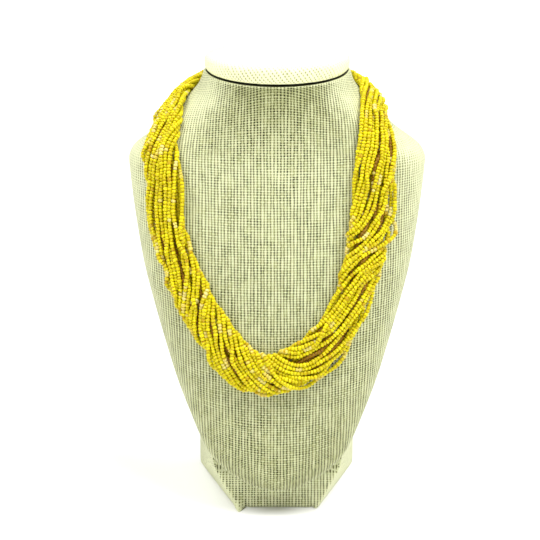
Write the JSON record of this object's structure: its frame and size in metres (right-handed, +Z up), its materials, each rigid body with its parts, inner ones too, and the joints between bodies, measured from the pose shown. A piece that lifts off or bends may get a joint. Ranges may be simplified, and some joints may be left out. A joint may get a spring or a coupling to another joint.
{
  "type": "multi strand bead necklace on a neck bust",
  "caption": "Loose twist of seed bead strands joined at the nape by a clasp with end cups, laid round a cloth-covered neck bust with a padded cap and a tapered foot.",
  "frame": {"origin": "on the ground under the middle of the whole object's box", "axes": "+Z up, the bust faces -Y, +X to the right in the picture"},
  "size_m": [0.2174, 0.1608, 0.3378],
  "materials": {
    "bust_cloth": "coarse plain-woven cloth, pale greenish beige",
    "cap_cloth": "the same cloth, drawn over padding",
    "foot_cloth": "the same cloth, folded round the block",
    "beads": "opaque glossy yellow glass seed beads, some cream",
    "clasp_metal": "polished"
  },
  "bodies": {
    "root": {"bust_body": "bust_cloth", "neck_cap": "cap_cloth", "foot": "foot_cloth", "bead_bundle": "beads", "clasp": "clasp_metal"}
  },
  "joints": []
}
